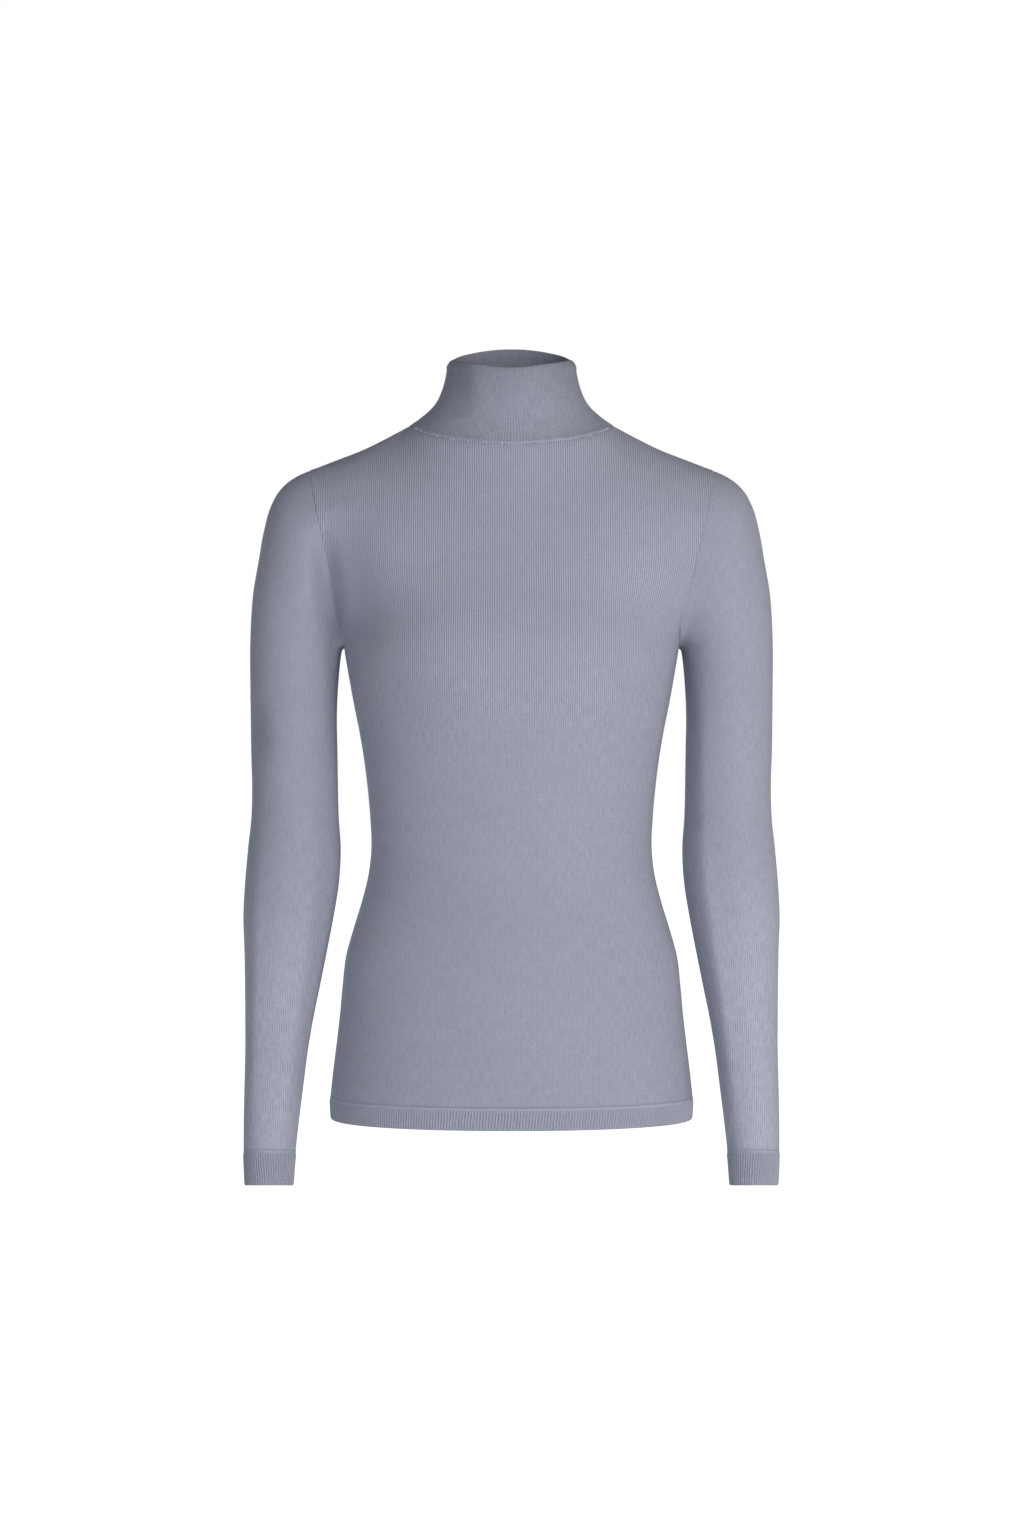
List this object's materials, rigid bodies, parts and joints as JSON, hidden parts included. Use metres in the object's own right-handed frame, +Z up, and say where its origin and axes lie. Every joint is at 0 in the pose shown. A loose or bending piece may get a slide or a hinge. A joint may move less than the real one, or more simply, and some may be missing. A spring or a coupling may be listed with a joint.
{
  "type": "turtleneck sweater",
  "caption": "Close-fitting fine-knit turtleneck sweater with long sleeves and ribbed edges, filled out as worn and hollow, open at neck, hem and cuffs.",
  "frame": {"origin": "midway between the shoulders, at the height where the shoulder seams meet the collar: where the wearer's shoulders hold the sweater", "axes": "+Z up towards the collar, +X towards the wearer's left sleeve, the front faces -Y"},
  "size_m": [0.4836, 0.2313, 0.7594],
  "materials": {
    "jersey_knit": "matte fine jersey knit",
    "rib_knit": "matte fine rib knit"
  },
  "bodies": {
    "root": {"front": "jersey_knit", "back": "jersey_knit", "sleeve_left": "jersey_knit", "sleeve_right": "jersey_knit", "collar": "jersey_knit", "hem_front": "rib_knit", "hem_back": "rib_knit", "cuff_left": "rib_knit", "cuff_right": "rib_knit"}
  },
  "joints": []
}
